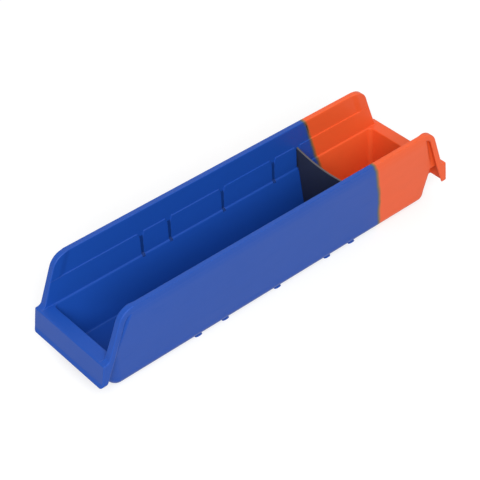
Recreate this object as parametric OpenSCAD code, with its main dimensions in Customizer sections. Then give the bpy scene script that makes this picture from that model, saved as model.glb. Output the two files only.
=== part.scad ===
// Double-ended shelf bin: a two-colour moulded shell and a lift-out hopper divider.
// Lengths are in millimetres. X runs along the bin from the blue end to the orange end,
// Y across it, and Z up from the feet of the floor ribs, with the origin in the middle.

/* [Bin] */
// Overall length, between the feet of the two label plates
bin_length = 454; // [340:1:600]
// Overall width, over the rims of the side walls
bin_width = 104.8; // [98:0.1:150]
// Overall height, from the feet of the floor ribs to the rims
bin_height = 101.6; // [95:0.1:140]

/* [Side walls] */
// Distance from the rim's outer face in to the wall just below the rim
shoulder_inset = 1.1; // [0.4:0.1:1.8]
// Distance from the rim's outer face in to the wall at the height of the ledges
waist_inset = 5.6; // [4.4:0.1:6.4]
// Distance from the rim's outer face in to the foot of the wall, as if its corner were sharp
base_inset = 9.9; // [8.4:0.1:12.4]
// Width of each rim, from the inside of the bin to its outer face
rim_width = 5.6; // [4.6:0.1:7]
// Height of the rim's turned-down outer lip
rim_depth = 6.4; // [4:0.1:9]
// Thickness of the rim's outer lip
lip_wall = 2; // [1.4:0.1:2.6]
// Thickness of the rim, the ledges and the label plates
shell_wall = 2.2; // [1.8:0.1:3]
// Radius of the rims' upper corners
rim_corner = 20; // [12:0.5:30]

/* [Hopper ends] */
// Height of the ledges, and of the step round the tub
ledge_height = 50.9; // [46:0.1:56]
// Depth of each ledge, from the mouth of the tub to its outer edge
ledge_depth = 14.6; // [12:0.1:20]
// Distance from the end of the bin in to the foot of the sloped rim
slope_foot = 10.8; // [9:0.1:13]
// Distance that the sloped rim leans back between the ledge and the top
slope_run = 18.7; // [10:0.1:26]
// Radius where the sloped rim flares into the ledge
flare = 5; // [2:0.5:7]
// Height of each label plate below the ledge
label_height = 26.4; // [20:0.1:34]
// Distance that a label plate leans out towards its foot
label_lean = 3.6; // [1:0.1:5]
// Distance that the lip along a label plate's foot stands out from the plate
label_lip = 1.2; // [0.6:0.1:2]
// Radius of the label plates' upright corners, seen from above
plate_corner = 4; // [2:0.5:6]

/* [Tub] */
// Thickness of the floor
floor_wall = 2.6; // [2:0.1:3.5]
// Thickness of the two end walls below the ledges
end_wall = 2.2; // [2:0.1:3.5]
// Distance that each end wall leans out from the floor up to the ledge
end_lean = 2.2; // [1:0.1:6]
// Thickness of the side walls at the floor
base_wall = 2.5; // [2:0.1:3.2]
// Width of the step at ledge height, along each side wall
tub_step = 1.6; // [1:0.1:2]
// Radius of the tub's upright corners inside, at the ledges
tub_corner = 5; // [3:0.5:14]
// Radius of the tub's upright corners inside, at the floor
base_corner = 8.5; // [8.5:0.5:11]
// Radius where the floor turns up into the walls inside
floor_fillet = 8; // [6:0.5:8.5]

/* [Divider slots] */
// Spacing of the row of divider stations along the bin
slot_pitch = 34; // [30:0.1:40]
// Distance from the middle of the bin to the middle station, towards the orange end
station_shift = 1.3; // [-3:0.1:3]
// Height of the top of the slotted band on the side walls
band_top = 76.5; // [70:0.1:82]
// Width of the step on top of the slotted band
band_step = 1.1; // [0.8:0.1:1.4]
// Width of a slot along the bin
slot_width = 3; // [2.6:0.1:4]
// Depth of a slot into the side wall
slot_depth = 1.2; // [1:0.1:1.4]
// Width of a slot's lead-in at its mouth
lead_width = 8; // [5:0.5:10]
// Height of a slot's lead-in
lead_height = 6; // [3:0.5:8]
// Depth of the floor groove that takes the divider's foot
groove_depth = 2.6; // [1.5:0.1:3]
// Height of the floor ribs below the bottom of the tub
rib_depth = 3; // [2.5:0.1:4]
// Width of a floor rib at its foot
rib_foot = 5; // [4:0.1:8]
// Width of a floor rib where it meets the floor
rib_root = 8.6; // [8:0.1:12]

/* [Divider] */
// Thickness of the divider
divider_wall = 2.2; // [1.6:0.1:2.4]
// Clearance between the divider and the shell
divider_gap = 0.35; // [0.3:0.05:0.5]
// Distance from the top of the slotted band down to the divider's shoulders
shoulder_drop = 1.8; // [1:0.1:4]
// Depth of the scoop in the divider's upper edge
scoop_depth = 6.8; // [2:0.1:10]

/* [Colour line] */
// Distance from the middle of the bin to the colour line at the rim
knit_x = 113.5; // [110:0.5:118]
// Distance that the colour line leans towards the orange end
knit_lean = 25; // [4:0.5:30]

/* [Hidden] */

blue = "#2A4FA8";
orange = "#EE6840";
charcoal = "#23262F";

// Overrun of cuts past the surface that they cut
over = 1;
// Fineness of the round stretches of the outlines, in segments to a quarter turn
quarter_steps = 6;
// Facets of the rounded corners that are hulled
hull_fn = 32;
// Rounding of the rim's outer edge
rim_round = 1.2;
// Rounding of the tub's outer bottom edge
base_round = 10;
// Rounding of the ledge's outer edge
ledge_round = 1.5;
// Width left at the foot of a label plate's side return
return_foot = 7;
// Rounding of the label plates' lower corners
plate_round = 4;
// Distance from the rim's outer face in to the webs under each ledge
web_inset = 20.4;
// Height of the lip along a label plate's foot
lip_height = 3;
// Rounding of the floor ribs' feet
rib_round = 1.6;
// Distance from the rim's outer face in to the ends of the floor ribs
rib_inset = 14.9;

half_length = bin_length / 2;
half_width = bin_width / 2;
shoulder_half = half_width - shoulder_inset;
waist_half = half_width - waist_inset;
base_half = half_width - base_inset;
floor_half = base_half - base_wall;
inner_half = half_width - rim_width;
web_half = half_width - web_inset;
rib_half = half_width - rib_inset;
tub_bottom = rib_depth;
floor_top = tub_bottom + floor_wall;
label_foot = ledge_height - label_height;
rim_foot = bin_height - rim_depth;

// Places along the bin, measured out from its middle
plate_foot_x = half_length - label_lip;
plate_top_x = plate_foot_x - label_lean;
mouth_x = plate_top_x - ledge_depth;
slope_foot_x = half_length - slope_foot;
slope_top_x = slope_foot_x - slope_run;
floor_end_x = mouth_x - end_lean;

// Half widths inside the slotted band, from the outside of the wall inwards
tub_mouth_half = waist_half - shell_wall - tub_step;
band_foot_half = waist_half - shell_wall;
band_top_half = inner_half - band_step;

// Slope of the hopper rims, in length along the bin for each unit of height
slope = slope_run / (bin_height - ledge_height);
// Width of the sloped lip, measured along the bin
lip_run = rim_depth * sqrt(1 + slope * slope);

// Divider stations, in pitches from the middle station
stations = [-3, -2, 0, 2, 3];
divider_x = 3 * slot_pitch + station_shift;

// The colour line: how far it has leant, against how far down the wall it has come
knit_lean_shares = [0, 0.14, 0.28, 0.46, 0.66, 0.79, 1];
knit_drop_shares = [0, 0.07, 0.2, 0.36, 0.55, 0.75, 1];

// Outline helper: each point is [x, y, radius], and its corner is rounded to that radius
function unit(v) = v / norm(v);
function corner_arc(before, at, after, radius) =
    let (
        u = unit(before - at),
        v = unit(after - at),
        half_angle = acos(u * v) / 2,
        back = radius / tan(half_angle),
        centre = at + unit(u + v) * radius / sin(half_angle),
        from = at + u * back - centre,
        to = at + v * back - centre,
        turn = 180 - 2 * half_angle,
        steps = max(1, ceil(quarter_steps * turn / 90)),
        side = cross(from, to) > 0 ? 1 : -1
    )
    [for (i = [0 : steps]) let (a = side * turn * i / steps)
        centre + [from.x * cos(a) - from.y * sin(a), from.x * sin(a) + from.y * cos(a)]];
function flat(p) = [p.x, p.y];
function rounded(points) =
    let (n = len(points))
    [for (i = [0 : n - 1])
        let (p = points[i])
        each p.z == 0
            ? [flat(p)]
            : corner_arc(flat(points[(i + n - 1) % n]), flat(p), flat(points[(i + 1) % n]), p.z)];
function mirrored(points) =
    let (n = len(points))
    concat(points, [for (i = [n - 1 : -1 : 0]) [-points[i].x, points[i].y, points[i].z]]);

// Place x = width, y = height outlines across the bin and run them along it
module along_bin(length) {
    rotate([90, 0, 90])
        linear_extrude(height = length, center = true)
            children();
}

// Place x = length, y = height outlines along the bin and run them across it
module across_bin(width) {
    rotate([90, 0, 0])
        linear_extrude(height = width, center = true)
            children();
}

// Mirror a feature to both side walls
module both_sides() {
    children();
    mirror([0, 1, 0])
        children();
}

// Side view of the bin's outer edge, from one label plate's foot over the rims to the other
module side_outline(inset, foot) {
    shrink = inset * (sqrt(1 + slope * slope) - slope);
    polygon(rounded(mirrored([
        [plate_top_x - inset + label_lean * (ledge_height - foot) / label_height, foot, 0],
        [plate_top_x - inset, ledge_height - inset, ledge_round],
        [slope_foot_x - shrink, ledge_height - inset, flare],
        [slope_top_x - shrink, bin_height - inset, rim_corner - inset]
    ])));
}

// Side view of the small lip along a label plate's foot, which keeps a slipped-in label up
module lip_profile(side) {
    polygon([
        [side * (plate_foot_x - shell_wall), label_foot],
        [side * half_length, label_foot],
        [side * half_length, label_foot + lip_height - label_lip],
        [side * (plate_foot_x - label_lean * lip_height / label_height), label_foot + lip_height]
    ]);
}

// Side view of the turned-down lip with the label plates' side returns
module lip_outline() {
    difference() {
        side_outline(0, label_foot);
        polygon(rounded(mirrored([
            [half_length - return_foot, label_foot - over, 0],
            [half_length - return_foot, label_foot, 0],
            [slope_foot_x - lip_run, ledge_height, 0],
            [slope_top_x + slope * rim_depth - lip_run, rim_foot, rim_corner - rim_depth]
        ])));
    }
}

// One corner of the tub as a disc whose lower edge is rounded
module corner_disc(radius, edge) {
    rotate_extrude($fn = hull_fn)
        polygon(rounded([[0, 0, 0], [radius, 0, edge], [radius, edge * 2, 0], [0, edge * 2, 0]]));
}

// Tapered block with rounded corners, from the floor up to just past the ledges
module tub_block(bottom, top, foot, head, foot_radius, head_radius, edge) {
    hull()
        for (sx = [-1, 1], sy = [-1, 1]) {
            translate([sx * (foot.x - foot_radius), sy * (foot.y - foot_radius), bottom])
                corner_disc(foot_radius, edge);
            translate([sx * (head.x - head_radius), sy * (head.y - head_radius), top])
                cylinder(r = head_radius, h = over, $fn = hull_fn);
        }
}

// Solid block inside the side walls' outer faces, above the ledges
module wall_block() {
    intersection() {
        along_bin(bin_length)
            polygon(rounded(mirrored([
                [waist_half, ledge_height, 0],
                [shoulder_half, rim_foot, 0],
                [shoulder_half, bin_height, 0]
            ])));
        across_bin(bin_width)
            side_outline(0, ledge_height - shell_wall);
    }
}

// Rims, sloped flanges, ledges and label plates, as one bent sheet
module edge_sheet() {
    intersection() {
        across_bin(bin_width)
            union() {
                difference() {
                    side_outline(0, label_foot);
                    side_outline(shell_wall, label_foot - over);
                }
                for (side = [-1, 1])
                    lip_profile(side);
            }
        along_bin(bin_length)
            polygon(rounded(mirrored([
                [half_width, label_foot, plate_round],
                [half_width, bin_height, rim_round]
            ])));
    }
}

// Ledge between the side walls, from the tub's mouth out to the label plate
module ledge_plate(side) {
    translate([side * (mouth_x + plate_top_x - shell_wall) / 2, 0, ledge_height - shell_wall / 2])
        cube([plate_top_x - mouth_x, waist_half * 2, shell_wall], center = true);
}

// Pair of upright webs under a ledge, from the tub's end wall out to the label plate
module ledge_webs(side) {
    middle = end_wall / 2;
    foot_share = (label_foot - floor_top) / (ledge_height - floor_top);
    both_sides()
        translate([0, web_half - shell_wall / 2, 0])
            across_bin(shell_wall)
                polygon([
                    [side * (floor_end_x + end_lean * foot_share + middle), label_foot],
                    [side * (mouth_x + middle), ledge_height - shell_wall],
                    [side * (plate_top_x - middle), ledge_height - shell_wall],
                    [side * (plate_foot_x - middle), label_foot]
                ]);
}

// Outer lips of the rims, and the side returns of the label plates
module lips() {
    intersection() {
        both_sides()
            translate([0, half_width - lip_wall / 2, 0])
                across_bin(lip_wall)
                    lip_outline();
        along_bin(bin_length)
            polygon(rounded(mirrored([
                [half_width, label_foot, plate_round],
                [half_width, bin_height, rim_round]
            ])));
    }
}

// Rib under the floor at one station
module floor_rib() {
    intersection() {
        across_bin(rib_half * 2)
            polygon(rounded(mirrored([
                [rib_foot / 2, 0, rib_round],
                [rib_root / 2, floor_top, 0]
            ])));
        along_bin(rib_root)
            polygon(rounded(mirrored([
                [rib_half, 0, rib_round],
                [rib_half, floor_top, 0]
            ])));
    }
}

// Everything that the moulded shell fills, before its hollows are cut
module shell_block() {
    tub_block(tub_bottom, ledge_height, [floor_end_x + end_wall, base_half],
        [mouth_x + end_wall, waist_half], base_corner + end_wall, tub_corner + end_wall, base_round);
    wall_block();
    edge_sheet();
    lips();
    for (side = [-1, 1]) {
        ledge_plate(side);
        ledge_webs(side);
    }
    for (s = stations)
        translate([s * slot_pitch + station_shift, 0, 0])
            floor_rib();
}

// Space between the side walls, above the ledges
module upper_hollow() {
    along_bin(bin_length + over)
        polygon(rounded(mirrored([
            [band_foot_half, ledge_height, 0],
            [band_top_half, band_top, 0],
            [inner_half, band_top, 0],
            [inner_half, bin_height + over, 0]
        ])));
}

// Space inside the tub, from the floor up past the ledges
module tub_hollow() {
    tub_block(floor_top, ledge_height, [floor_end_x, floor_half],
        [mouth_x, tub_mouth_half], base_corner, tub_corner, floor_fillet);
}

// Upright slot in one side wall, with its lead-in, and the groove across the floor
module divider_slots() {
    both_sides() {
        intersection() {
            across_bin(bin_width)
                polygon([
                    [-slot_width / 2, ledge_height],
                    [slot_width / 2, ledge_height],
                    [slot_width / 2, band_top - lead_height],
                    [lead_width / 2, band_top],
                    [lead_width / 2, band_top + over],
                    [-lead_width / 2, band_top + over],
                    [-lead_width / 2, band_top],
                    [-slot_width / 2, band_top - lead_height]
                ]);
            along_bin(lead_width)
                polygon([
                    [0, ledge_height],
                    [band_foot_half + slot_depth, ledge_height],
                    [inner_half, band_top - (band_step - slot_depth)],
                    [inner_half, band_top + over],
                    [0, band_top + over]
                ]);
        }
    }
    translate([-slot_width / 2, -floor_half + floor_fillet, floor_top - groove_depth])
        cube([slot_width, 2 * (floor_half - floor_fillet), groove_depth + over]);
}

// The whole moulding, before it is parted along the colour line
module moulding() {
    intersection() {
        difference() {
            shell_block();
            upper_hollow();
            tub_hollow();
            for (s = stations)
                translate([s * slot_pitch + station_shift, 0, 0])
                    divider_slots();
        }
        linear_extrude(height = bin_height)
            polygon(rounded(mirrored([
                [half_length, -half_width, plate_corner],
                [half_length, half_width, plate_corner]
            ])));
    }
}

// Side view of everything on the blue side of the colour line
module blue_side() {
    knit = [for (i = [0 : len(knit_lean_shares) - 1])
        [knit_x + knit_lean * knit_lean_shares[i], bin_height * (1 - knit_drop_shares[i])]];
    polygon(concat(
        [[-half_length - over, -over], [-half_length - over, bin_height + over],
            [knit_x, bin_height + over]],
        knit,
        [[knit_x + knit_lean, -over]]));
}

// Blue part of the moulding, from the blue hopper end to the colour line
module blue_shell() {
    color(blue)
        intersection() {
            moulding();
            across_bin(bin_width + over)
                blue_side();
        }
}

// Orange part of the moulding, from the colour line to the orange hopper end
module orange_shell() {
    color(orange)
        difference() {
            moulding();
            across_bin(bin_width + over)
                blue_side();
        }
}

// Divider plate with shoulders that ride in the wall slots and a scooped upper edge
module hopper_divider() {
    gap = divider_gap;
    shoulder = band_top - shoulder_drop;
    band_slope = (band_top_half - band_foot_half) / (band_top - ledge_height);
    ear_foot = band_foot_half + slot_depth - gap + band_slope * gap;
    ear_top = ear_foot + band_slope * (shoulder - ledge_height - gap);
    key_half = floor_half - floor_fillet - gap;
    tub_slope = (tub_mouth_half - floor_half) / (ledge_height - floor_top - floor_fillet);
    foot_half = floor_half - gap - tub_slope * (floor_fillet - gap);
    radius = (ear_top * ear_top + scoop_depth * scoop_depth) / (2 * scoop_depth);
    scoop_angle = asin(ear_top / radius);
    scoop_steps = 2 * quarter_steps;
    scoop = [for (i = [0 : scoop_steps - 1])
        let (a = scoop_angle * (1 - i / scoop_steps))
        [radius * sin(a), shoulder - scoop_depth + radius * (1 - cos(a)), 0]];
    color(charcoal)
        translate([divider_x, 0, 0])
            along_bin(divider_wall)
                polygon(rounded(mirrored(concat(
                    [
                        [key_half, floor_top - groove_depth + gap, 0],
                        [key_half, floor_top + gap, 0],
                        [foot_half, floor_top + gap, floor_fillet - gap],
                        [tub_mouth_half - gap, ledge_height + gap, 0],
                        [ear_foot, ledge_height + gap, 0]
                    ],
                    scoop))));
}

blue_shell();
orange_shell();
hopper_divider();
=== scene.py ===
"""Looks of the double-ended shelf bin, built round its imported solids.

Sizes are in millimetres, as in the part's source, and meshes are made in metres.
X runs along the bin to the orange end, Y across it, Z up from the feet of the floor ribs.
"""

import itertools
import math

import bmesh
import bpy
import numpy as np
from mathutils import Matrix, Vector


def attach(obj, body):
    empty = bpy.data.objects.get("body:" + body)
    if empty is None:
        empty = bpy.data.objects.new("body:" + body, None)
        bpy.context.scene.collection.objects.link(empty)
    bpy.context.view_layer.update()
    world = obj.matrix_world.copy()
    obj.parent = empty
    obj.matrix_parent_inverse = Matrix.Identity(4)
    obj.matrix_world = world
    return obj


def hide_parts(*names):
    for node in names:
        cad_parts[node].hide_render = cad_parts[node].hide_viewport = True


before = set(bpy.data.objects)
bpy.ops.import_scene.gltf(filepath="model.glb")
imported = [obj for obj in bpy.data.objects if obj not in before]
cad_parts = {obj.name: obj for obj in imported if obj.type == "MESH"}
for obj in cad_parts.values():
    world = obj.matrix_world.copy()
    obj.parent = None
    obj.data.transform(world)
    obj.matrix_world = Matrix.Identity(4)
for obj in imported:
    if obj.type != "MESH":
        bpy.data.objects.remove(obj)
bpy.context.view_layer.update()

MM = 0.001

# The bin's sizes
HALF_LENGTH, HALF_WIDTH, HEIGHT = 227.0, 52.4, 101.6
WAIST_HALF, BASE_HALF = 47.2, 42.5
FLOOR_HALF, MOUTH_HALF = 32.8, 43.0
BAND_FOOT_HALF, BAND_TOP_HALF, INNER_HALF = 44.6, 45.7, 46.8
TUB_BOTTOM, FLOOR_TOP, LABEL_FOOT = 3.0, 5.6, 24.5
LEDGE, BAND_TOP, RIM_FOOT = 50.9, 76.5, 95.2
SHELL_WALL, LIP_WALL, END_WALL = 2.2, 2.0, 2.2
HALF_WALL = SHELL_WALL / 2
PLATE_FOOT_X, PLATE_TOP_X, PLATE_LEAN = 225.8, 222.2, 3.6
FLOOR_END_X, OUTER_END_X, MOUTH_X = 200.5, 207.6, 207.6
SLOPE_FOOT_X, SLOPE_TOP_X = 216.2, 197.5
RETURN_FOOT, LIP_RUN, LIP_TOP_RUN = 7.0, 6.82, 4.46
FOOT_LIP_FACE, FOOT_LIP_INSET, FOOT_LIP_RISE = 0.9, 0.9, 5.0
WEB_HALF, WEB_OVERLAP = 32.0, 0.2
PITCH, STATION_SHIFT = 34.0, 1.3
STATIONS = (-3, -2, 0, 2, 3)
SIDE_STATIONS = (2, 3)
DIVIDER_STATION = 3
SLOT_HALF, SLOT_DEPTH, LEAD_HALF, LEAD_FOOT = 1.5, 1.2, 4.0, 70.5
NOTCH_SLOPE, NOTCH_RISE, NOTCH_DROP = 0.9, 0.5, 2.5
FLOOR_FILLET, BASE_ROUND = 1.6, 10.0
GROOVE_HALF, RIB_HALF = 31.0, 37.5
RIB_FOOT, RIB_ROOT = 5.0, 8.6
RIB_ROUND, RIB_SINK = 1.6, 0.5
PAD_HALF, PAD_SHORT, PAD_FOOT = 3.8, 0.8, 2.2
# Where the outside wall is drawn in, and the inner step runs out, behind the sloped flange
POCKET_TOP_HALF = 47.7
POCKET_RUN, STEP_RUN = (13, 8), (18, 9)
STEP_RISE, STEP_HEIGHT = 0.5, 0.1
# How far below the rim the side wall runs out into it, and how far short of the rim's face
RIM_FADE, RIM_SINK = 3, 0.05
# Radii of corners and edges
LEDGE_ROUND, SLOPE_FOOT_ROUND, RIM_CORNER = 1.5, 5, 18
LIP_FOOT_ROUND, LIP_CORNER, FOOT_LIP_ROUND = 4, 11.6, 0.5
BAND_FOOT_ROUND, BAND_TOP_ROUND, STEP_ROUND = 1.2, 0.35, 0.5
PLATE_CORNER, PLAN_CORNER, SHEET_ROUND, RIM_FILLET = 4, 4, 1.0, 0.8
OUTER_CORNERS, INNER_CORNERS = (10.7, 7.2), (5, 5)
MOUTH_EDGE = ((186, 204), (1.5, 0.9))
RIM_EDGE = ((LEDGE, LEDGE + 5), (0.02, 0.9))
RIM_EDGE_DEPTH = 1.4
SIDE_BLUR = 4
# The stretch over which the row's shift dies out
SHIFT_FADE = (112, 180)
# Lengths that only have to reach past something
FAR, MOUTH_OVERRUN, GROOVE_OVERRUN = 60.0, 12, 3

# The line where the two colours meet: how far it leans, and how high it is
KNIT_X, KNIT_LEAN = 113.5, 25.0
KNIT_LEANS = (1, 0.79, 0.66, 0.46, 0.28, 0.14, 0)
KNIT_HEIGHTS = (0, 0.25, 0.45, 0.64, 0.8, 0.93, 1)

# Lines of the grid that the moulding is meshed on, as stretches of (start, end, step)
ROW_GRID_REACH, ROW_GRID_STEP, BETWEEN_STEP = 5.25, 0.5, 4
GRID_TO_END = ((184, 3), (229, 0.75))
GRID_ACROSS = ((-1.5, 28.5, 3), (28.5, 34.5, 0.4), (34.5, 42.5, 0.8), (42.5, 53.3, 0.4))
GRID_UP = ((1.7, 9.2, 0.4), (9.2, 23.2, 2), (23.2, 28.6, 0.45), (28.6, 46.2, 2.2),
           (46.2, 53.4, 0.45), (53.4, 69.4, 2), (69.4, 74.8, 0.9), (74.8, 78.4, 0.4),
           (78.4, 93.4, 1.5), (93.4, 102.4, 0.45))
MIDDLE_NEAR, SEWN_NEAR = 0.1, 1e-3
LARGE_FACE = 12
FLAT_BEND, BEND_RANGE = 0.5, 1.5

# How far the painted shade in a slot reaches past the slot's own sizes
SHADE_DROP, SHADE_RISE, SHADE_SIDE = 4, 1.5, 0.35
SHADE_FACE, SHADE_BACK, SHADE_FACE_DROP = 0.12, 0.3, 0.9


def knit_line(z):
    """Distance along the bin to the colour line, at height z."""
    return KNIT_X + KNIT_LEAN * np.interp(z / HEIGHT, KNIT_HEIGHTS, KNIT_LEANS)


# Distance fields
def rounded(points, arc_step=7.5):
    """Closed outline whose corners (x, y, radius) are turned into arcs."""
    made = []
    for i, (x, y, radius) in enumerate(points):
        at = np.array([x, y])
        if not radius:
            made.append(tuple(at))
            continue
        u, v = (np.array(points[j % len(points)][:2]) - at for j in (i - 1, i + 1))
        u, v = u / np.linalg.norm(u), v / np.linalg.norm(v)
        half = math.acos(np.clip(u @ v, -1, 1)) / 2
        middle = (u + v) / np.linalg.norm(u + v)
        centre = at + middle * radius / math.sin(half)
        start = at + u * radius / math.tan(half) - centre
        turn = math.pi - 2 * half
        side = 1 if u[0] * v[1] - u[1] * v[0] < 0 else -1
        count = max(2, round(math.degrees(turn) / arc_step))
        for k in range(count + 1):
            a = side * turn * k / count
            c, s = math.cos(a), math.sin(a)
            made.append(tuple(centre + [start[0] * c - start[1] * s, start[0] * s + start[1] * c]))
    return made


def outline_distance(outline, u, v):
    """Signed distance from (u, v) to a closed outline, negative inside it."""
    nearest, inside = np.inf, False
    for (ax, ay), (bx, by) in zip(outline, outline[1:] + outline[:1]):
        ex, ey = bx - ax, by - ay
        t = np.clip(((u - ax) * ex + (v - ay) * ey) / (ex * ex + ey * ey), 0, 1)
        nearest = np.minimum(nearest, (u - ax - t * ex) ** 2 + (v - ay - t * ey) ** 2)
        if ey:
            inside = inside ^ (((ay > v) != (by > v)) & (u < ex * (v - ay) / ey + ax))
    return np.where(inside, -1, 1) * np.sqrt(nearest)


def corner_distance(u, v, radius):
    """Signed distance to a quarter plane u, v <= 0 whose corner has a radius."""
    p, q = u + radius, v + radius
    return np.minimum(np.maximum(p, q), 0) + np.hypot(np.maximum(p, 0), np.maximum(q, 0)) - radius


def both(a, b, radius):
    """What is inside both fields, with the edge between them rounded."""
    return np.minimum(np.maximum(a, b), -radius) + np.hypot(
        np.maximum(a + radius, 0), np.maximum(b + radius, 0))


def either(a, b, radius):
    """What is inside either field, with the corner between them filled."""
    return -both(-a, -b, radius)


def all_of(*fields):
    """What is inside every one of the fields, with sharp edges."""
    made = fields[0]
    for other in fields[1:]:
        made = np.maximum(made, other)
    return made


def any_of(*fields):
    """What is inside at least one of the fields."""
    made = fields[0]
    for other in fields[1:]:
        made = np.minimum(made, other)
    return made


def blurred(z, heights, widths, blur):
    """Width at height z, from a bent line whose bends are softened."""
    return sum(np.interp(z + blur * k, heights, widths) for k in (-1, -0.5, 0, 0.5, 1)) / 5


def plate_line(z):
    """Distance along the bin to the face of the label plate, at height z."""
    return PLATE_TOP_X + PLATE_LEAN * (LEDGE - z) / (LEDGE - LABEL_FOOT)


EDGE = rounded([
    (-FAR, -FAR, 0), (plate_line(-FAR), -FAR, 0), (PLATE_TOP_X, LEDGE, LEDGE_ROUND),
    (SLOPE_FOOT_X, LEDGE, SLOPE_FOOT_ROUND), (SLOPE_TOP_X, HEIGHT, RIM_CORNER),
    (-FAR, HEIGHT, 0)])
LIP_INNER = rounded([
    (-FAR, -FAR, 0), (HALF_LENGTH - RETURN_FOOT, -FAR, 0),
    (HALF_LENGTH - RETURN_FOOT, LABEL_FOOT, 0),
    (SLOPE_FOOT_X - LIP_RUN, LEDGE, LIP_FOOT_ROUND),
    (SLOPE_TOP_X - LIP_TOP_RUN, RIM_FOOT, LIP_CORNER), (-FAR, RIM_FOOT, 0)])
FOOT_LIP = rounded([
    (PLATE_FOOT_X - SHELL_WALL, LABEL_FOOT, 0), (HALF_LENGTH, LABEL_FOOT, FOOT_LIP_ROUND),
    (HALF_LENGTH, LABEL_FOOT + FOOT_LIP_FACE, FOOT_LIP_ROUND),
    (PLATE_FOOT_X - FOOT_LIP_INSET, LABEL_FOOT + FOOT_LIP_RISE, 0)])
WEB = [
    (OUTER_END_X - WEB_OVERLAP, LABEL_FOOT), (MOUTH_X + HALF_WALL, LEDGE - HALF_WALL),
    (PLATE_TOP_X - HALF_WALL, LEDGE - HALF_WALL), (PLATE_FOOT_X - HALF_WALL, LABEL_FOOT)]
UPPER_HOLLOW = rounded([
    (-FAR, LEDGE, 0), (BAND_FOOT_HALF, LEDGE, BAND_FOOT_ROUND),
    (BAND_TOP_HALF, BAND_TOP, BAND_TOP_ROUND), (INNER_HALF, BAND_TOP, STEP_ROUND),
    (INNER_HALF, HEIGHT + FAR, 0), (-FAR, HEIGHT + FAR, 0)])
# Straight walls as (heights, half widths or lengths); the outer side runs out into the rim
SIDE_LINE = ((TUB_BOTTOM + BASE_ROUND, RIM_FOOT - RIM_FADE), (BASE_HALF, HALF_WIDTH - RIM_SINK))
OUTER_END = ((TUB_BOTTOM + BASE_ROUND, LEDGE), (OUTER_END_X, MOUTH_X + END_WALL))
TUB_SIDE = ((FLOOR_TOP, LEDGE), (FLOOR_HALF, MOUTH_HALF))
TUB_END = ((FLOOR_TOP, LEDGE), (FLOOR_END_X, MOUTH_X))
SLOT = [
    (-FAR, LEDGE), (SLOT_HALF, LEDGE), (SLOT_HALF, LEAD_FOOT), (LEAD_HALF, BAND_TOP),
    (LEAD_HALF, HEIGHT), (-FAR, HEIGHT)]


def station_distance(x):
    """Distance along the bin to the nearest station of the quarter, for x of zero or more."""
    made = abs(x)
    for s in SIDE_STATIONS:
        made = np.minimum(made, abs(x - s * PITCH))
    return made


def slot_back_line(z):
    """Half width at the back of the divider slots, at height z."""
    return np.interp(z, (LEDGE, BAND_TOP), (BAND_FOOT_HALF + SLOT_DEPTH, INNER_HALF))


def tub(x, y, z, side_line, end_line, radii, bottom, edge, blur):
    """Tapered block with rounded upright corners and a rounded lower edge."""
    half_x = blurred(z, *end_line, blur)
    half_y = blurred(z, *side_line, blur)
    radius = blurred(z, end_line[0], radii, blur)
    return both(corner_distance(x - half_x, y - half_y, radius), bottom - z, edge)


def behind_flange(x, z, start, end):
    """Share from 0 to 1, from one distance behind the sloped flange to a nearer one."""
    flange = np.interp(z, (LEDGE, HEIGHT), (SLOPE_FOOT_X, SLOPE_TOP_X))
    share = np.clip((start - (flange - x)) / (start - end), 0, 1)
    return share * share * (3 - 2 * share)


def row_shift(x):
    """How far the middle stretch is moved along, to set the row of stations off centre."""
    return STATION_SHIFT * np.interp(abs(x), SHIFT_FADE, (1, 0))


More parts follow.
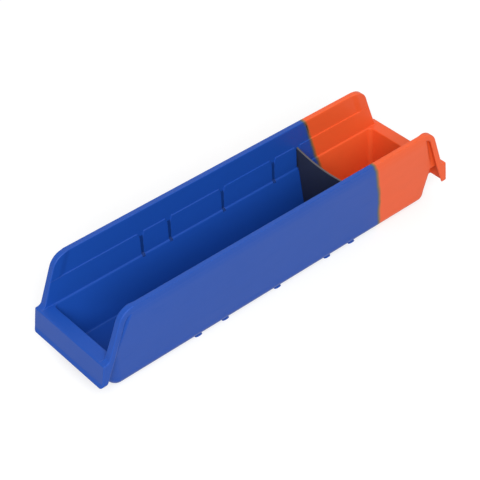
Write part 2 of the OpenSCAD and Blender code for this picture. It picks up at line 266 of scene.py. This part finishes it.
def moulding(x, y, z):
    """Signed distance to the bin's moulding, for x and y of zero or more."""
    edge = outline_distance(EDGE, x, z)
    across = corner_distance(y - HALF_WIDTH, LABEL_FOOT - z, PLATE_CORNER)
    outside = blurred(z, *SIDE_LINE, SIDE_BLUR)
    pocket = np.interp(z, (LEDGE, RIM_FOOT), (WAIST_HALF, POCKET_TOP_HALF)) - outside
    outside = outside + pocket * behind_flange(x, z, *POCKET_RUN)
    low = all_of(tub(x, y, z, SIDE_LINE, OUTER_END, OUTER_CORNERS, TUB_BOTTOM, BASE_ROUND,
                     SIDE_BLUR), z - LEDGE)
    high = all_of(y - outside, edge, LEDGE - SHELL_WALL - z)
    sheet = both(all_of(edge, -edge - SHELL_WALL), across, SHEET_ROUND)
    lips = all_of(both(all_of(edge, -outline_distance(LIP_INNER, x, z)), across, SHEET_ROUND),
                  HALF_WIDTH - LIP_WALL - y)
    foot_lip = all_of(outline_distance(FOOT_LIP, x, z), across)
    ledge = all_of(x - PLATE_TOP_X + HALF_WALL, MOUTH_X - FAR - x, y - outside,
                   z - LEDGE, LEDGE - SHELL_WALL - z)
    webs = all_of(outline_distance(WEB, x, z), abs(y - WEB_HALF + HALF_WALL) - HALF_WALL)
    station = station_distance(x)
    pads = all_of(station - PAD_HALF, y - RIB_HALF + PAD_SHORT, PAD_FOOT - z, z - FLOOR_TOP)
    walls = either(high, lips, RIM_FILLET)
    solid = any_of(low, walls, sheet, foot_lip, ledge, webs, pads)

    step = behind_flange(x, z, *STEP_RUN) * (INNER_HALF - BAND_TOP_HALF)
    step = step * np.clip(z - BAND_TOP + STEP_RISE, 0, 1)
    upper = outline_distance(UPPER_HOLLOW, y + step, z)
    lower = all_of(tub(x, y, z, TUB_SIDE, TUB_END, INNER_CORNERS, FLOOR_TOP, FLOOR_FILLET, 0),
                   z - LEDGE - MOUTH_OVERRUN)
    hollow = either(upper, lower, np.interp(x, *MOUTH_EDGE))
    inner = np.interp(z, (LEDGE, BAND_TOP, BAND_TOP + STEP_HEIGHT),
                      (BAND_FOOT_HALF, BAND_TOP_HALF, INNER_HALF)) - step
    rim = np.where((y > inner - RIM_EDGE_DEPTH) & (z > LEDGE),
                   both(edge, inner - y, np.interp(z, *RIM_EDGE)), -FAR)
    made = all_of(solid, -hollow, rim)

    slot_back = slot_back_line(z)
    slots = all_of(outline_distance(SLOT, station, z), y - slot_back)
    notch = all_of(station - SLOT_HALF, y - slot_back + NOTCH_SLOPE * (LEDGE - z),
                   z - LEDGE - NOTCH_RISE, LEDGE - NOTCH_DROP - z)
    groove = all_of(station - SLOT_HALF, y - GROOVE_HALF, TUB_BOTTOM - z,
                    z - FLOOR_TOP - GROOVE_OVERRUN)
    plan = corner_distance(x - HALF_LENGTH, y - HALF_WIDTH, PLAN_CORNER)
    return all_of(made, -slots, -notch, -groove, plan)


# From a distance field to a mesh
def grid_lines(*stretches):
    """Grid lines from stretches of (start, end, step)."""
    lines = [np.linspace(a, b, max(1, round((b - a) / step)), endpoint=False)
             for a, b, step in stretches]
    return np.concatenate(lines + [[stretches[-1][1]]])


def surface_net(lines, values):
    """Points and quads of the surface where the values on a grid change sign."""
    inside = values < 0
    shape = [n - 1 for n in inside.shape]
    span = [slice(0, n) for n in shape]

    def moved(array, steps):
        return array[tuple(slice(s.start + d, s.stop + d) for s, d in zip(span, steps))]

    count = sum(moved(inside, d).astype(np.int8) for d in itertools.product((0, 1), repeat=3))
    active = (count > 0) & (count < 8)
    index = np.full(shape, -1)
    cells = np.argwhere(active)
    index[tuple(cells.T)] = np.arange(len(cells))

    total, hits = np.zeros((len(cells), 3)), np.zeros(len(cells))
    for axis in range(3):
        others = [a for a in range(3) if a != axis]
        for steps in itertools.product((0, 1), repeat=2):
            low = cells.copy()
            low[:, others] += steps
            high = low.copy()
            high[:, axis] += 1
            a, b = values[tuple(low.T)], values[tuple(high.T)]
            crossed = (a < 0) != (b < 0)
            share = a[crossed] / (a[crossed] - b[crossed])
            point = np.stack([lines[k][low[crossed, k]] for k in range(3)], 1)
            point[:, axis] += share * (lines[axis][high[crossed, axis]] - point[:, axis])
            total[crossed] += point
            hits += crossed
    points = total / hits[:, None]

    quads = []
    for axis in range(3):
        u, v = (axis + 1) % 3, (axis + 2) % 3
        size = [slice(0, n) for n in inside.shape]
        size[axis] = slice(0, inside.shape[axis] - 1)
        ahead = list(size)
        ahead[axis] = slice(1, inside.shape[axis])
        low, high = inside[tuple(size)], inside[tuple(ahead)]
        at = np.argwhere(low != high)
        at = at[(at[:, u] > 0) & (at[:, v] > 0) & (at[:, u] < shape[u]) & (at[:, v] < shape[v])]
        leaving = low[tuple(at.T)]
        ring = []
        for du, dv in ((1, 1), (0, 1), (0, 0), (1, 0)):
            cell = at.copy()
            cell[:, u] -= du
            cell[:, v] -= dv
            ring.append(index[tuple(cell.T)])
        ring = np.stack(ring, 1)
        quads.append(np.where(leaving[:, None], ring, ring[:, ::-1]))
    return points, np.concatenate(quads)


def quarter_of_moulding():
    """The quarter of the moulding with x and y above zero, as points in mm and quads."""
    near, fine = ROW_GRID_REACH, ROW_GRID_STEP
    stretches, at = [(-fine / 2, near, fine)], near
    for s in SIDE_STATIONS:
        stretches += [(at, s * PITCH - near, BETWEEN_STEP),
                      (s * PITCH - near, s * PITCH + near, fine)]
        at = s * PITCH + near
    for end, step in GRID_TO_END:
        stretches.append((at, end, step))
        at = end
    xs, ys, zs = grid_lines(*stretches), grid_lines(*GRID_ACROSS), grid_lines(*GRID_UP)
    values = moulding(abs(xs)[:, None, None], abs(ys)[None, :, None], zs[None, None, :])
    points, quads = surface_net((xs, ys, zs), values)
    for axis in (0, 1):
        middle = abs(points[:, axis]) < MIDDLE_NEAR
        points[middle, axis] = 0
    return points, quads


def on_side(points, side):
    """Points of the quarter set on one side of the middle, with the row's shift."""
    made = points * (side, 1, 1)
    made[:, 0] += row_shift(points[:, 0])
    return made


def in_quarter(points):
    """Points in mm anywhere on the moulding, as the quarter's field reads them."""
    made = points.copy()
    made[:, 0] -= row_shift(points[:, 0])
    made[:, :2] = abs(made[:, :2])
    return made


def as_bmesh(points, faces):
    bm = bmesh.new()
    verts = [bm.verts.new(p) for p in points]
    for face in faces:
        bm.faces.new([verts[i] for i in face])
    return bm


def cut_at_knit(bm, keep_blue):
    """Cuts a mesh along the colour line, by a shear that makes the line a plane."""
    for v in bm.verts:
        v.co.x -= knit_line(v.co.z)
    everything = bm.verts[:] + bm.edges[:] + bm.faces[:]
    bmesh.ops.bisect_plane(bm, geom=everything, dist=1e-4, plane_co=(0, 0, 0),
                           plane_no=(1, 0, 0), clear_outer=keep_blue, clear_inner=not keep_blue)
    for v in bm.verts:
        v.co.x += knit_line(v.co.z)


def flat_faces_joined(bm):
    """Joins the faces of each flat stretch, and leaves the open edges as they are."""
    bmesh.ops.dissolve_limit(bm, angle_limit=math.radians(0.25), use_dissolve_boundaries=False,
                             verts=bm.verts[:], edges=bm.edges[:])


def sewn(bm, axis, place):
    """Joins the two sides of a mesh where they meet on a plane."""
    meeting = [v for v in bm.verts if abs(v.co[axis] - place) < SEWN_NEAR]
    bmesh.ops.remove_doubles(bm, verts=meeting, dist=SEWN_NEAR)


def with_far_side(bm):
    """Adds a mesh's mirror image across the middle plane along the bin."""
    copied = bmesh.ops.duplicate(bm, geom=bm.verts[:] + bm.edges[:] + bm.faces[:])["geom"]
    for item in copied:
        if isinstance(item, bmesh.types.BMVert):
            item.co.y *= -1
    bmesh.ops.reverse_faces(bm, faces=[f for f in copied if isinstance(f, bmesh.types.BMFace)])
    sewn(bm, 1, 0)


def field_at(points):
    return moulding(*in_quarter(points).T)


def field_normals(points, reach=0.2):
    """Directions in which the moulding's field grows, at points in mm."""
    normals = np.zeros_like(points)
    for axis in range(3):
        step = np.zeros(3)
        step[axis] = reach
        normals[:, axis] = field_at(points + step) - field_at(points - step)
    return normals / np.maximum(np.linalg.norm(normals, axis=1, keepdims=True), 1e-9)


def field_bend(points, reach=0.16):
    """How sharply the surface turns outwards at points in mm, from 0 on flats to 1."""
    total = -6 * field_at(points)
    for axis, way in itertools.product(range(3), (-1, 1)):
        step = np.zeros(3)
        step[axis] = way * reach
        total = total + field_at(points + step)
    return np.clip((total / reach ** 2 - FLAT_BEND) / BEND_RANGE, 0, 1)


def slot_depth_share(points):
    """Share of painted shade: 1 at points in mm down in a divider slot, and 0 elsewhere."""
    x, y, z = in_quarter(points).T
    face = np.interp(z, (LEDGE - SHADE_DROP, LEDGE - STEP_HEIGHT, LEDGE, BAND_TOP),
                     (MOUTH_HALF - SHADE_FACE_DROP, MOUTH_HALF, BAND_FOOT_HALF, BAND_TOP_HALF))
    across = (y > face + SHADE_FACE) & (y < slot_back_line(z) + SHADE_BACK)
    up = (z > LEDGE - SHADE_DROP) & (z < LEAD_FOOT + SHADE_RISE)
    along = station_distance(x) < SLOT_HALF + SHADE_SIDE
    return (along & across & up).astype(float)


def shell_piece(name, bm):
    """A finished mesh object from one colour's surface, with its open end closed."""
    open_edges = [e for e in bm.edges if e.is_boundary]
    if open_edges:
        made = bmesh.ops.holes_fill(bm, edges=open_edges, sides=0)
        for face in made["faces"]:
            face.material_index = 1
    mesh = bpy.data.meshes.new(name)
    bm.to_mesh(mesh)
    bm.free()
    points = np.empty(len(mesh.vertices) * 3)
    mesh.vertices.foreach_get("co", points)
    points = points.reshape(-1, 3)
    normals = field_normals(points)
    bend = field_bend(points)
    corner_points = np.empty(len(mesh.loops), int)
    mesh.loops.foreach_get("vertex_index", corner_points)
    corner_normals = normals[corner_points]
    for face in mesh.polygons:
        if face.area > LARGE_FACE:
            bend[list(face.vertices)] = 0
        if face.material_index:
            for i in face.loop_indices:
                corner_normals[i] = face.normal
            face.material_index = 0
    mesh.transform(Matrix.Scale(MM, 4))
    # Attributes for the material: convexity, which carries the painted edge highlight, and where
    # the painted shade in the slots goes
    for label, values in (("edge", bend), ("slot", slot_depth_share(points))):
        made = mesh.attributes.new(label, "FLOAT", "POINT")
        made.data.foreach_set("value", values.astype(np.float32))
    mesh.shade_smooth()
    mesh.normals_split_custom_set(corner_normals.tolist())
    piece = bpy.data.objects.new(name, mesh)
    bpy.context.scene.collection.objects.link(piece)
    return piece


def make_shells():
    points, quads = quarter_of_moulding()
    blue, orange = (as_bmesh(on_side(points, 1), quads) for k in range(2))
    cut_at_knit(blue, True)
    cut_at_knit(orange, False)
    blue_end = as_bmesh(on_side(points, -1), quads[:, ::-1])
    for bm in (blue, orange, blue_end):
        flat_faces_joined(bm)
    spare = bpy.data.meshes.new("spare")
    blue_end.to_mesh(spare)
    blue_end.free()
    blue.from_mesh(spare)
    bpy.data.meshes.remove(spare)
    sewn(blue, 0, STATION_SHIFT)
    with_far_side(blue)
    with_far_side(orange)
    return shell_piece("blue_moulding", blue), shell_piece("orange_moulding", orange)


# Divider
def divider_outline():
    """Outline of the divider plate (y, z), round from its foot over the scoop and back."""
    gap, shoulder, scoop = 0.35, 74.7, 6.8
    lean = (BAND_TOP_HALF - BAND_FOOT_HALF) / (BAND_TOP - LEDGE)
    ear_foot = BAND_FOOT_HALF + SLOT_DEPTH - gap + lean * gap
    ear_top = ear_foot + lean * (shoulder - LEDGE - gap)
    key = GROOVE_HALF - gap
    radius = (ear_top ** 2 + scoop ** 2) / (2 * scoop)
    arc = [(radius * math.sin(a), shoulder - scoop + radius * (1 - math.cos(a)), 0)
           for a in np.linspace(math.asin(ear_top / radius), 0, 25)]
    half = [(key, TUB_BOTTOM + gap, 0), (key, FLOOR_TOP + gap, 0),
            (FLOOR_HALF - gap, FLOOR_TOP + gap, FLOOR_FILLET),
            (MOUTH_HALF - gap, LEDGE + gap, 0), (ear_foot, LEDGE + gap, 0)] + arc
    return rounded(half + [(-y, z, r) for y, z, r in reversed(half[:-1])])


def make_divider():
    outline = divider_outline()
    middle, thick, rounding = DIVIDER_STATION * PITCH + STATION_SHIFT, 2.2, 0.55
    bm = bmesh.new()
    face = bm.faces.new([bm.verts.new((middle - thick / 2, y, z)) for y, z in outline])
    pushed = bmesh.ops.extrude_face_region(bm, geom=[face])["geom"]
    for item in pushed:
        if isinstance(item, bmesh.types.BMVert):
            item.co.x += thick
    bmesh.ops.recalc_face_normals(bm, faces=bm.faces[:])
    sides = [f for f in bm.faces if len(f.verts) > 4]
    rims = list(dict.fromkeys(e for f in sides for e in f.edges))
    bmesh.ops.bevel(bm, geom=rims, offset=rounding, segments=3, profile=0.5,
                    affect="EDGES", clamp_overlap=True)
    mesh = bpy.data.meshes.new("divider_plate")
    bm.to_mesh(mesh)
    bm.free()
    mesh.transform(Matrix.Scale(MM, 4))
    # Painted highlight mask: the divider's upward faces near its top, where the top light falls
    upper = [float(v.co.z > 60 * MM and v.normal.z > 0.35) for v in mesh.vertices]
    mesh.attributes.new("edge", "FLOAT", "POINT").data.foreach_set("value", upper)
    mesh.shade_smooth()
    mesh.set_sharp_from_angle(angle=math.radians(35))
    piece = bpy.data.objects.new("divider_plate", mesh)
    bpy.context.scene.collection.objects.link(piece)
    return piece


# Floor ribs, by Geometry Nodes
class Tree:
    """Builds a node tree of any kind, one node a call."""

    def __init__(self, tree):
        self.tree = tree

    def node(self, kind, settings=None, links=None, out=0):
        """Adds a node, sets its settings and then its sockets, and returns one output."""
        made = self.tree.nodes.new(kind)
        for name, value in (settings or {}).items():
            setattr(made, name, value)
        for name, value in (links or {}).items():
            socket = made.inputs[name]
            value = getattr(value, "socket", value)
            if isinstance(value, bpy.types.NodeSocket):
                self.tree.links.new(value, socket)
            else:
                socket.default_value = value
        return Wire(self, made.outputs[out])


class Wire:
    """A socket that can be used in arithmetic: each operator adds a Math node."""

    def __init__(self, build, socket):
        self.build, self.socket = build, socket

    def math(self, operation, *others):
        return self.build.node("ShaderNodeMath", {"operation": operation},
                               dict(enumerate((self,) + others)))

    def __add__(self, other):
        return self.math("ADD", other)

    def __radd__(self, other):
        return self.math("ADD", other)

    def __sub__(self, other):
        return self.math("SUBTRACT", other)

    def __rsub__(self, other):
        return (self * -1).math("ADD", other)

    def __mul__(self, other):
        return self.math("MULTIPLY", other)

    def __truediv__(self, other):
        return self.math("DIVIDE", other)

    def clamped(self):
        return self.math("MAXIMUM", 0.0).math("MINIMUM", 1.0)


def rib_tree():
    """Ribs of a bent-in section run across the bin, one at each filled place of a row."""
    tree = bpy.data.node_groups.new("floor_ribs", "GeometryNodeTree")
    tree.interface.new_socket("Mesh", in_out="OUTPUT", socket_type="NodeSocketGeometry")
    sizes = {"Pitch": PITCH * MM, "Shift": STATION_SHIFT * MM,
             "Half Length": RIB_HALF * MM,
             "Foot Width": RIB_FOOT * MM, "Root Width": RIB_ROOT * MM,
             "Height": (TUB_BOTTOM + RIB_SINK) * MM, "Round": RIB_ROUND * MM}
    for name, value in sizes.items():
        socket = tree.interface.new_socket(name, in_out="INPUT", socket_type="NodeSocketFloat")
        socket.default_value = value
    finish = tree.interface.new_socket("Finish", in_out="INPUT",
                                       socket_type="NodeSocketMaterial")
    build = Tree(tree)
    given = tree.nodes.new("NodeGroupInput").outputs
    size = {name: Wire(build, given[name]) for name in sizes}

    section = build.node("GeometryNodeCurvePrimitiveQuadrilateral", {"mode": "TRAPEZOID"}, {
        "Height": size["Height"], "Bottom Width": size["Foot Width"],
        "Top Width": size["Root Width"], "Offset": 0.0})
    index = build.node("GeometryNodeInputIndex")
    position = build.node("GeometryNodeInputPosition")
    height_of = build.node("ShaderNodeSeparateXYZ", None, {0: position}, out=1)
    at_foot = build.node("FunctionNodeCompare", {"data_type": "FLOAT", "operation": "LESS_THAN"},
                         {"A": height_of, "B": 0.0})
    radius = build.node("GeometryNodeSwitch", {"input_type": "FLOAT"},
                        {"Switch": at_foot, "False": 0.0, "True": size["Round"]})
    section = build.node("GeometryNodeFilletCurve", {"mode": "POLY"}, {
        "Curve": section, "Count": 5, "Radius": radius, "Limit Radius": True})
    # The section's root is at its own zero, so that a smaller radius draws the foot up to it
    drop = build.node("ShaderNodeCombineXYZ", None, {"Y": size["Height"] * -0.5})
    section = build.node("GeometryNodeSetPosition", None, {"Geometry": section, "Offset": drop})

    end = build.node("ShaderNodeCombineXYZ", None, {"Y": size["Half Length"]})
    start = build.node("ShaderNodeCombineXYZ", None, {"Y": size["Half Length"] * -1})
    path = build.node("GeometryNodeCurvePrimitiveLine", None, {"Start": start, "End": end})
    path = build.node("GeometryNodeResampleCurve", {"mode": "COUNT"}, {"Curve": path, "Count": 97})
    along = build.node("ShaderNodeSeparateXYZ", None,
                       {0: build.node("GeometryNodeInputPosition")}, out=1)
    past = (along.math("ABSOLUTE") - (size["Half Length"] - size["Round"])) / size["Round"]
    past = past.clamped()
    share = (1 - past * past).math("MAXIMUM", 0.0).math("SQRT") * 0.55 + 0.45
    path = build.node("GeometryNodeSetCurveRadius", None, {"Curve": path, "Radius": share})
    rib = build.node("GeometryNodeCurveToMesh", None,
                     {"Curve": path, "Profile Curve": section, "Scale": share,
                      "Fill Caps": True})

    start_x = size["Pitch"] * float(STATIONS[0]) + size["Shift"]
    first = build.node("ShaderNodeCombineXYZ", None, {"X": start_x})
    step = build.node("ShaderNodeCombineXYZ", None, {"X": size["Pitch"]})
    row = build.node("GeometryNodeMeshLine", {"mode": "OFFSET"}, {
        "Count": STATIONS[-1] - STATIONS[0] + 1, "Start Location": first, "Offset": step})
    place = (index + float(STATIONS[0])).math("ABSOLUTE")
    bare = place.math("COMPARE", 1.0, 0.1)
    row = build.node("GeometryNodeDeleteGeometry", {"domain": "POINT"},
                     {"Geometry": row, "Selection": bare})
    ribs = build.node("GeometryNodeInstanceOnPoints", None, {"Points": row, "Instance": rib})
    ribs = build.node("GeometryNodeRealizeInstances", None, {"Geometry": ribs})
    ribs = build.node("GeometryNodeSetMaterial", None,
                      {"Geometry": ribs, "Material": Wire(build, given["Finish"])})
    out = tree.nodes.new("NodeGroupOutput")
    tree.links.new(ribs.socket, out.inputs[0])
    return tree, finish.identifier


def make_ribs(material):
    tree, finish = rib_tree()
    source = bpy.data.objects.new("rib_source", bpy.data.meshes.new("rib_source"))
    bpy.context.scene.collection.objects.link(source)
    modifier = source.modifiers.new("ribs", "NODES")
    modifier.node_group = tree
    modifier[finish] = material
    source.update_tag()
    graph = bpy.context.evaluated_depsgraph_get()
    mesh = bpy.data.meshes.new_from_object(source.evaluated_get(graph))
    mesh.name = "floor_ribs"
    bpy.data.objects.remove(source)
    bm = bmesh.new()
    bm.from_mesh(mesh)
    bmesh.ops.remove_doubles(bm, verts=bm.verts[:], dist=1e-6)
    bmesh.ops.recalc_face_normals(bm, faces=bm.faces[:])
    bm.to_mesh(mesh)
    bm.free()
    mesh.shade_smooth()
    mesh.set_sharp_from_angle(angle=math.radians(40))
    piece = bpy.data.objects.new("floor_ribs", mesh)
    bpy.context.scene.collection.objects.link(piece)
    return piece


# Materials
def srgb(r, g, b):
    """Linear colour from one written as a screen's values, each from 11 to 255."""
    return tuple(((c / 255 + 0.055) / 1.055) ** 2.4 for c in (r, g, b)) + (1.0,)


BLUE = srgb(24, 72, 160)
ORANGE = srgb(231, 91, 44)
CHARCOAL, SLATE = srgb(40, 44, 58), srgb(48, 54, 74)
# Pale tint of the painted highlight on the moulding's convex edges, and grey of the painted
# highlight on the divider's upward faces near its top
EDGE_HIGHLIGHT, DIVIDER_TOP_HIGHLIGHT = (0.75, 0.78, 0.85, 1), srgb(120, 114, 108)
WHITE = (1, 1, 1, 1)
GRAIN_DEPTH = 0.00003
# The blend of the two colours, in metres: its width and the two sizes of its waviness
SEAM_WIDTH, SEAM_WOBBLE, SEAM_FRAY = 0.0062, 0.0022, 0.0011
# Strength of the painted highlight on convex edges, and of the painted shade down in the divider
# slots
EDGE_HIGHLIGHT_SHARE, SLOT_SHADE = 0.018, -0.5
FLOOR_GLOW, WORLD_LIGHT = 0.6, 0.48


class Finish(Tree):
    """A material's tree, with the patterns that the bin's plastics share."""

    def __init__(self, name):
        self.material = bpy.data.materials.new(name)
        self.material.use_nodes = True
        super().__init__(self.material.node_tree)
        self.tree.nodes.clear()
        self.place = self.node("ShaderNodeTexCoord", out=3)

    def axis(self, k):
        return self.node("ShaderNodeSeparateXYZ", None, {0: self.place}, out=k)

    def noise(self, scale, detail, stretch=(1, 1, 1)):
        """Soft noise about zero, with a scale in patches to a metre."""
        where = self.node("ShaderNodeMapping", None, {"Vector": self.place, "Scale": stretch})
        made = self.node("ShaderNodeTexNoise", None,
                         {"Vector": where, "Scale": scale, "Detail": detail})
        return made - 0.5

    def mixed(self, share, a, b, blend="MIX"):
        settings = {"data_type": "RGBA", "blend_type": blend, "clamp_factor": True}
        return self.node("ShaderNodeMix", settings, {0: share, 6: a, 7: b}, out=2)

    def ramp(self, share, stops, interpolation="LINEAR"):
        made = self.tree.nodes.new("ShaderNodeValToRGB")
        ramp = made.color_ramp
        ramp.interpolation = interpolation
        while len(ramp.elements) < len(stops):
            ramp.elements.new(0.5)
        for element, (at, colour) in zip(ramp.elements, sorted(stops)):
            element.position = at
            element.color = colour
        self.tree.links.new(share.socket, made.inputs[0])
        return Wire(self, made.outputs[0])

    def toned(self, colour, change):
        """A colour made lighter or darker by a share."""
        grey = self.node("ShaderNodeCombineColor", None,
                         {"Red": change + 1, "Green": change + 1, "Blue": change + 1})
        return self.mixed(1.0, colour, grey, "MULTIPLY")

    def finished(self, colour, roughness):
        bump = self.node("ShaderNodeBump", None, {"Height": plastic_grain(self),
                                                  "Strength": 1.0, "Distance": GRAIN_DEPTH})
        shader = self.node("ShaderNodeBsdfPrincipled", None, {
            "Base Color": colour, "Roughness": roughness, "Normal": bump,
            "IOR": 1.49, "Specular IOR Level": 0.22})
        out = self.tree.nodes.new("ShaderNodeOutputMaterial")
        self.tree.links.new(shader.socket, out.inputs["Surface"])
        return self.material


def plastic_grain(build):
    """Height of the fine spark-eroded grain, with a slow waviness under it."""
    return build.noise(2600, 3) * 0.8 + build.noise(900, 1) * 0.5 + build.noise(60, 1) * 2.0


def shell_finish(name):
    """The moulding's plastic: blue and orange, flowed together along the colour line."""
    build = Finish(name)
    height = build.axis(2) / (HEIGHT * MM)
    lean = build.ramp(height, [(z, (x, x, x, 1)) for z, x in zip(KNIT_HEIGHTS, KNIT_LEANS)],
                      "CARDINAL")
    line = lean * (KNIT_LEAN * MM) + KNIT_X * MM
    wobble = build.noise(45, 2) * SEAM_WOBBLE + build.noise(420, 2) * SEAM_FRAY
    across = (build.axis(0) - line + wobble) / SEAM_WIDTH + 0.5
    colour = build.ramp(across.clamped(), [
        (0.0, BLUE), (0.30, srgb(60, 82, 110)), (0.50, srgb(112, 98, 70)),
        (0.66, srgb(150, 98, 58)), (0.84, srgb(200, 98, 50)), (1.0, ORANGE)])
    mottle = build.noise(9, 1) * 0.07 + build.noise(70, 3) * 0.05
    flow = build.noise(38, 3, (0.25, 1, 1.6)) * 0.06
    colour = build.toned(colour, mottle + flow)
    # Painted highlight: the convex edges made lighter with a pale tint, in patches by noise
    edge = build.node("ShaderNodeAttribute", {"attribute_name": "edge"}, out=2)
    edge_highlight = (edge * (build.noise(160, 3) * 0.8 + 0.8)).clamped() * EDGE_HIGHLIGHT_SHARE
    colour = build.mixed(edge_highlight, colour, EDGE_HIGHLIGHT)
    # Painted shade: darker down in the divider slots
    slot = build.node("ShaderNodeAttribute", {"attribute_name": "slot"}, out=2)
    colour = build.toned(colour, slot * SLOT_SHADE)
    scuff = ((build.noise(240, 4, (0.12, 1, 1)) - 0.12) * 6).clamped()
    roughness = 0.43 + build.noise(14, 2) * 0.08 + scuff * 0.08 + edge * -0.04
    return build.finished(colour, roughness)


def divider_finish(name):
    build = Finish(name)
    colour = build.mixed(build.noise(24, 3) * 0.5 + 0.3, CHARCOAL, SLATE)
    colour = build.toned(colour, build.noise(120, 3) * 0.12)
    edge = build.node("ShaderNodeAttribute", {"attribute_name": "edge"}, out=2)
    # Painted highlight: the upward faces near the divider's top made lighter grey
    colour = build.mixed(edge * 0.5, colour, DIVIDER_TOP_HIGHLIGHT)
    roughness = 0.40 + build.noise(18, 3) * 0.10
    return build.finished(colour, roughness)


# Floor, light and camera
def seen_directly(build):
    """1 for what the camera sees, also in a reflection or through a clear part, else 0."""
    camera, glossy, clear = (build.node("ShaderNodeLightPath", out=k) for k in (0, 3, 6))
    return camera.math("MAXIMUM", glossy).math("MAXIMUM", clear)


def make_stage():
    bm = bmesh.new()
    bmesh.ops.create_grid(bm, x_segments=2, y_segments=2, size=6)
    mesh = bpy.data.meshes.new("studio_floor")
    bm.to_mesh(mesh)
    bm.free()
    floor = bpy.data.objects.new("studio_floor", mesh)
    bpy.context.scene.collection.objects.link(floor)
    build = Finish("studio_floor")
    tone = build.mixed(build.noise(3, 2) + 0.5, (0.43, 0.43, 0.43, 1), (0.45, 0.45, 0.45, 1))
    shader = build.node("ShaderNodeBsdfPrincipled", None, {
        "Base Color": tone, "Roughness": 0.9, "Specular IOR Level": 0.1,
        "Emission Color": WHITE, "Emission Strength": seen_directly(build) * FLOOR_GLOW})
    out = build.tree.nodes.new("ShaderNodeOutputMaterial")
    build.tree.links.new(shader.socket, out.inputs["Surface"])
    mesh.materials.append(build.material)


def make_world():
    world = bpy.data.worlds.new("studio")
    world.use_nodes = True
    build = Tree(world.node_tree)
    world.node_tree.nodes.clear()
    strength = seen_directly(build) * (1 - WORLD_LIGHT) + WORLD_LIGHT
    sky = build.node("ShaderNodeBackground", None, {"Color": WHITE, "Strength": strength})
    out = world.node_tree.nodes.new("ShaderNodeOutputWorld")
    world.node_tree.links.new(sky.socket, out.inputs["Surface"])
    bpy.context.scene.world = world


def add_light(name, place, size, power):
    light = bpy.data.lights.new(name, "AREA")
    light.shape = "RECTANGLE"
    light.size, light.size_y = size
    light.energy = power
    lamp = bpy.data.objects.new(name, light)
    lamp.location = place
    lamp.rotation_euler = (-Vector(place)).to_track_quat("-Z", "Y").to_euler()
    bpy.context.scene.collection.objects.link(lamp)


def make_camera():
    """The photograph's camera, as fitted to the bin's measured edges."""
    azimuth, elevation, roll = (math.radians(a) for a in (-41.0765, 40.4496, -0.6178))
    ahead = Vector((11.3962, -47.8739, 1393.7476))
    focal_px, frame_px, sensor = 1458.8827, 480, 36
    back = Vector((math.sin(azimuth) * math.cos(elevation),
                   -math.cos(azimuth) * math.cos(elevation), math.sin(elevation)))
    right = Vector((0, 0, 1)).cross(back).normalized()
    up = back.cross(right)
    c, s = math.cos(roll), math.sin(roll)
    right, down = right * c + up * s, right * s - up * c
    place = Vector((0, 0, HEIGHT)) - right * ahead.x - down * ahead.y + back * ahead.z
    camera = bpy.data.cameras.new("photo_camera")
    camera.sensor_width = sensor
    camera.lens = focal_px * sensor / frame_px
    camera.clip_start, camera.clip_end = 0.01, 50
    holder = bpy.data.objects.new("photo_camera", camera)
    turn = Matrix((right, -down, back)).transposed().to_4x4()
    holder.matrix_world = Matrix.Translation(place * MM) @ turn
    bpy.context.scene.collection.objects.link(holder)
    bpy.context.scene.camera = holder


# Putting the bin together
blue_piece, orange_piece = make_shells()
divider_piece = make_divider()
shell_material = shell_finish("moulded_two_colour")
blue_piece.data.materials.append(shell_material)
orange_piece.data.materials.append(shell_finish("moulded_two_colour_orange_end"))
divider_piece.data.materials.append(divider_finish("moulded_black"))
ribs_piece = make_ribs(shell_material)

for piece, node, body, finish_slot in (
        (blue_piece, "blue_shell", "bin", "blue_plastic"),
        (orange_piece, "orange_shell", "bin", "orange_plastic"),
        (divider_piece, "hopper_divider", "divider", "black_plastic")):
    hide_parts(node)
    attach(piece, body)
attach(ribs_piece, "bin")

make_stage()
make_world()
add_light("key_light", (-1.1, -1.5, 1.55), (1.4, 1.4), 58)
add_light("top_light", (-0.2, 0.1, 2.2), (2.0, 1.4), 3)
add_light("back_light", (1.2, 1.1, 1.5), (2.0, 1.2), 4)
make_camera()
bpy.context.scene.view_settings.view_transform = "Standard"
